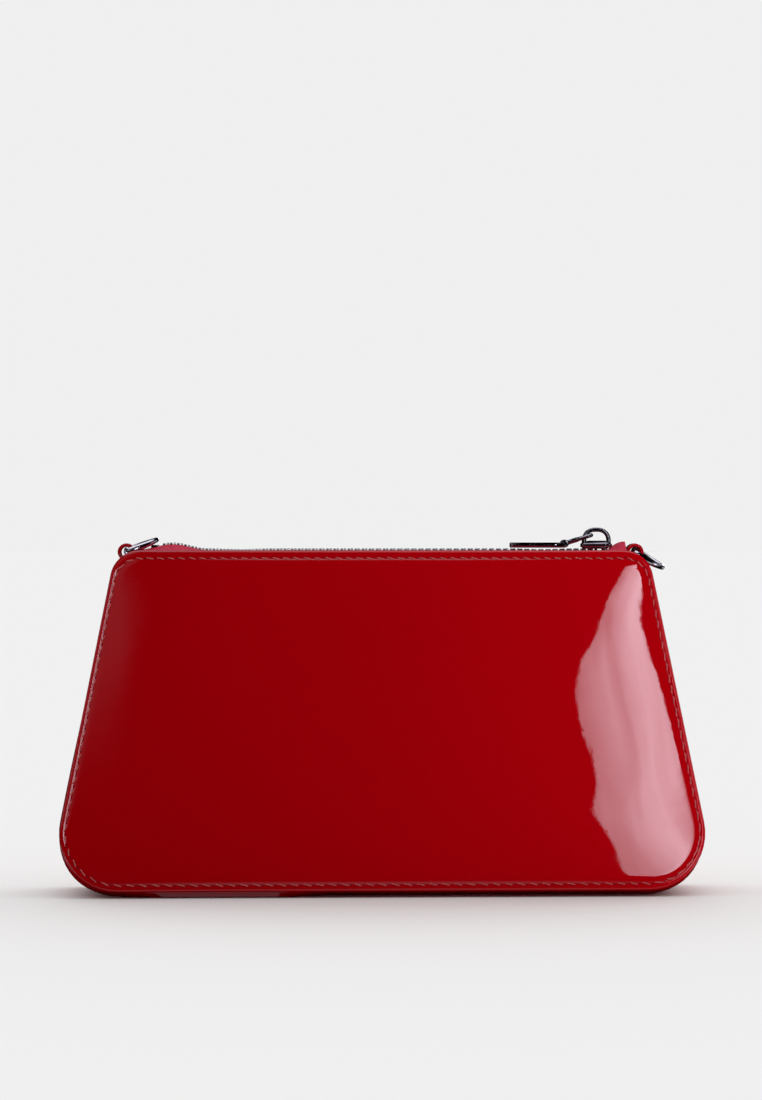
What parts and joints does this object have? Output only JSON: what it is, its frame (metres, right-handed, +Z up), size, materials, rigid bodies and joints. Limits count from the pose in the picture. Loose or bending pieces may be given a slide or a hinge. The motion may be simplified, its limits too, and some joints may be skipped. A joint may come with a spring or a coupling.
{
  "type": "clutch purse",
  "caption": "Stiff trapezoid zip-top clutch in patent leather, with a strip gusset, a metal zip with pull tab, and a strap ring in a leather loop at each top corner.",
  "frame": {"origin": "under the middle of the base, on the surface that the purse stands on", "axes": "+Z up, X along the zip with the closed slider at +X, front panel facing -Y"},
  "size_m": [0.2456, 0.05, 0.1378],
  "materials": {
    "red_patent_leather": "glossy red patent coat over smooth leather, with close edge stitching",
    "lining_fabric": "dark red woven lining",
    "stiffener_board": "plain bonded board",
    "zip_tape": "red herringbone woven tape",
    "zip_metal": "polished dark nickel",
    "ring_metal": "polished nickel"
  },
  "bodies": {
    "bag": {"front_panel": "red_patent_leather", "front_board": "stiffener_board", "front_lining": "lining_fabric", "gusset": "red_patent_leather", "gusset_lining": "lining_fabric", "base_board": "stiffener_board", "zip_tape_front": "zip_tape", "zip_teeth_front": "zip_metal", "top_stop_front": "zip_metal", "bottom_stop": "zip_metal", "ring_tab_left": "red_patent_leather", "ring_tab_right": "red_patent_leather"},
    "rear_wall": {"rear_panel": "red_patent_leather", "rear_board": "stiffener_board", "rear_lining": "lining_fabric", "slip_pocket": "lining_fabric", "zip_tape_rear": "zip_tape", "zip_teeth_rear": "zip_metal", "top_stop_rear": "zip_metal"},
    "slider": {"slider_body": "zip_metal", "slider_bail": "zip_metal"},
    "pull_link": {"pull_link": "zip_metal", "pull_pin": "zip_metal"},
    "pull_tab": {"pull_tab": "zip_metal"},
    "ring_left": {"ring_left": "ring_metal"},
    "ring_right": {"ring_right": "ring_metal"}
  },
  "joints": [
    {"name": "mouth_open", "type": "hinge", "parent": "bag", "child": "rear_wall", "pos_m": [0, 0.023, 0.0024], "axis": [-1, 0, 0], "range_deg": [0, 12]},
    {"name": "zip_slide", "type": "slide", "parent": "bag", "child": "slider", "axis": [-1, 0, 0], "range_m": [0, 0.132], "deforming": ["zip_tape_front", "zip_tape_rear", "zip_teeth_front", "zip_teeth_rear"]},
    {"name": "pull_link_swing", "type": "hinge", "parent": "slider", "child": "pull_link", "pos_m": [0.0798, 0, 0.13493], "axis": [0, 1, 0], "range_deg": [0, 120]},
    {"name": "pull_tab_swing", "type": "hinge", "parent": "pull_link", "child": "pull_tab", "pos_m": [0.0696, 0, 0.13173], "axis": [0, 1, 0], "range_deg": [0, 90]},
    {"name": "ring_left_swing", "type": "hinge", "parent": "bag", "child": "ring_left", "pos_m": [-0.0962, 0, 0.12853], "axis": [0.0196, -0.9986, -0.0485], "range_deg": [0, 180]},
    {"name": "ring_right_swing", "type": "hinge", "parent": "bag", "child": "ring_right", "pos_m": [0.0962, 0, 0.12853], "axis": [-0.0653, -0.9903, -0.1229], "range_deg": [0, 148]}
  ],
  "couplings": [
    {"joint": "zip_slide", "follows": "mouth_open", "m_per_rad": 0.63025}
  ]
}
